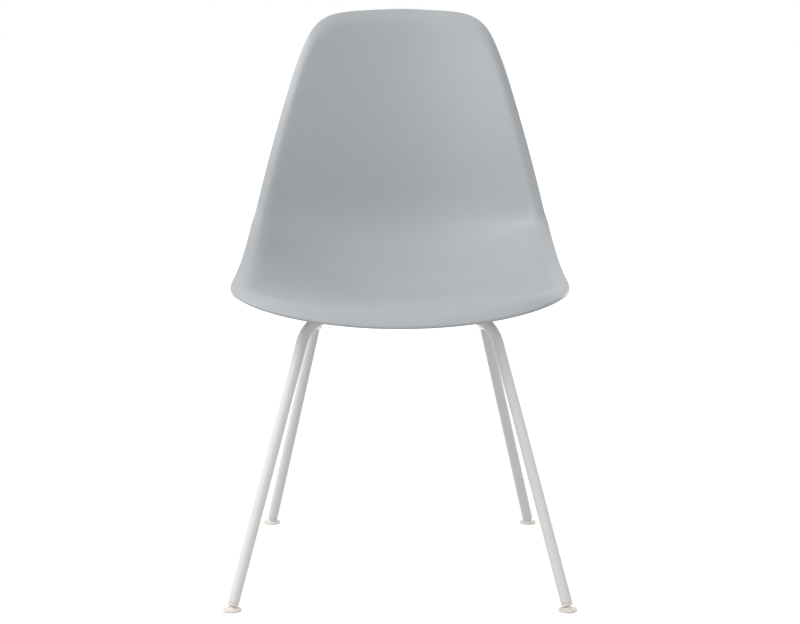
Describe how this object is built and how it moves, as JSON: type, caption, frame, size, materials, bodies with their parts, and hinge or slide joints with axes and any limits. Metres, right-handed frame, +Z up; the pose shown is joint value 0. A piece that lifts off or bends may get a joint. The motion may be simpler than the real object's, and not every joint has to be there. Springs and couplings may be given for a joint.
{
  "type": "side chair",
  "caption": "Four-legged side chair with a one-piece moulded plastic bucket shell on a bent steel tube base with tilting floor glides.",
  "frame": {"origin": "centre of the chair's bounding box, on the floor", "axes": "-Y towards the front of the seat, +Z up, +X to the right when looking from the front along +Y"},
  "size_m": [0.48, 0.5201, 0.7958],
  "materials": {
    "shell_plastic": "light grey moulded polypropylene, fine satin texture",
    "frame_paint": "white powder coat on steel, satin",
    "black_rubber": "black moulded rubber, matte",
    "glide_nylon": "off-white moulded nylon, satin",
    "zinc_steel": "bright zinc plated steel",
    "brass": "plain machined brass"
  },
  "bodies": {
    "frame_and_shell": {"seat_shell": "shell_plastic", "front_leg_tube": "frame_paint", "rear_leg_tube": "frame_paint", "side_rail_left": "frame_paint", "side_rail_right": "frame_paint", "mount_plate_front_left": "frame_paint", "shock_block_front_left": "black_rubber", "shock_bushing_front_left": "black_rubber", "glide_plug_front_left": "glide_nylon", "mount_plate_front_right": "frame_paint", "shock_block_front_right": "black_rubber", "shock_bushing_front_right": "black_rubber", "glide_plug_front_right": "glide_nylon", "mount_plate_rear_left": "frame_paint", "shock_block_rear_left": "black_rubber", "shock_bushing_rear_left": "black_rubber", "glide_plug_rear_left": "glide_nylon", "mount_plate_rear_right": "frame_paint", "shock_block_rear_right": "black_rubber", "shock_bushing_rear_right": "black_rubber", "glide_plug_rear_right": "glide_nylon", "block_cores": "zinc_steel", "shell_inserts": "brass", "mount_washers": "zinc_steel", "mount_screws": "zinc_steel"},
    "glide_stud_front_left": {"glide_stud_front_left": "zinc_steel"},
    "glide_pad_front_left": {"glide_pad_front_left": "glide_nylon"},
    "glide_stud_front_right": {"glide_stud_front_right": "zinc_steel"},
    "glide_pad_front_right": {"glide_pad_front_right": "glide_nylon"},
    "glide_stud_rear_left": {"glide_stud_rear_left": "zinc_steel"},
    "glide_pad_rear_left": {"glide_pad_rear_left": "glide_nylon"},
    "glide_stud_rear_right": {"glide_stud_rear_right": "zinc_steel"},
    "glide_pad_rear_right": {"glide_pad_rear_right": "glide_nylon"}
  },
  "joints": [
    {"name": "glide_turn_front_left", "type": "hinge", "parent": "frame_and_shell", "child": "glide_stud_front_left", "pos_m": [-0.227, -0.22642, 0.0044], "axis": [0.2497, 0.2316, 0.9402], "continuous": true},
    {"name": "glide_tilt_front_left", "type": "hinge", "parent": "glide_stud_front_left", "child": "glide_pad_front_left", "pos_m": [-0.227, -0.22642, 0.0044], "axis": [-0.6801, 0.7331, 0], "range_deg": [-4.1, 43.9]},
    {"name": "glide_turn_front_right", "type": "hinge", "parent": "frame_and_shell", "child": "glide_stud_front_right", "pos_m": [0.227, -0.22642, 0.0044], "axis": [-0.2497, 0.2316, 0.9402], "continuous": true},
    {"name": "glide_tilt_front_right", "type": "hinge", "parent": "glide_stud_front_right", "child": "glide_pad_front_right", "pos_m": [0.227, -0.22642, 0.0044], "axis": [-0.6801, -0.7331, 0], "range_deg": [-4.1, 43.9]},
    {"name": "glide_turn_rear_left", "type": "hinge", "parent": "frame_and_shell", "child": "glide_stud_rear_left", "pos_m": [-0.2, 0.23258, 0.0044], "axis": [0.2127, -0.268, 0.9396], "continuous": true},
    {"name": "glide_tilt_rear_left", "type": "hinge", "parent": "glide_stud_rear_left", "child": "glide_pad_rear_left", "pos_m": [-0.2, 0.23258, 0.0044], "axis": [0.7833, 0.6217, 0], "range_deg": [-4, 44]},
    {"name": "glide_turn_rear_right", "type": "hinge", "parent": "frame_and_shell", "child": "glide_stud_rear_right", "pos_m": [0.2, 0.23258, 0.0044], "axis": [-0.2127, -0.268, 0.9396], "continuous": true},
    {"name": "glide_tilt_rear_right", "type": "hinge", "parent": "glide_stud_rear_right", "child": "glide_pad_rear_right", "pos_m": [0.2, 0.23258, 0.0044], "axis": [0.7833, -0.6217, 0], "range_deg": [-4, 44]}
  ]
}
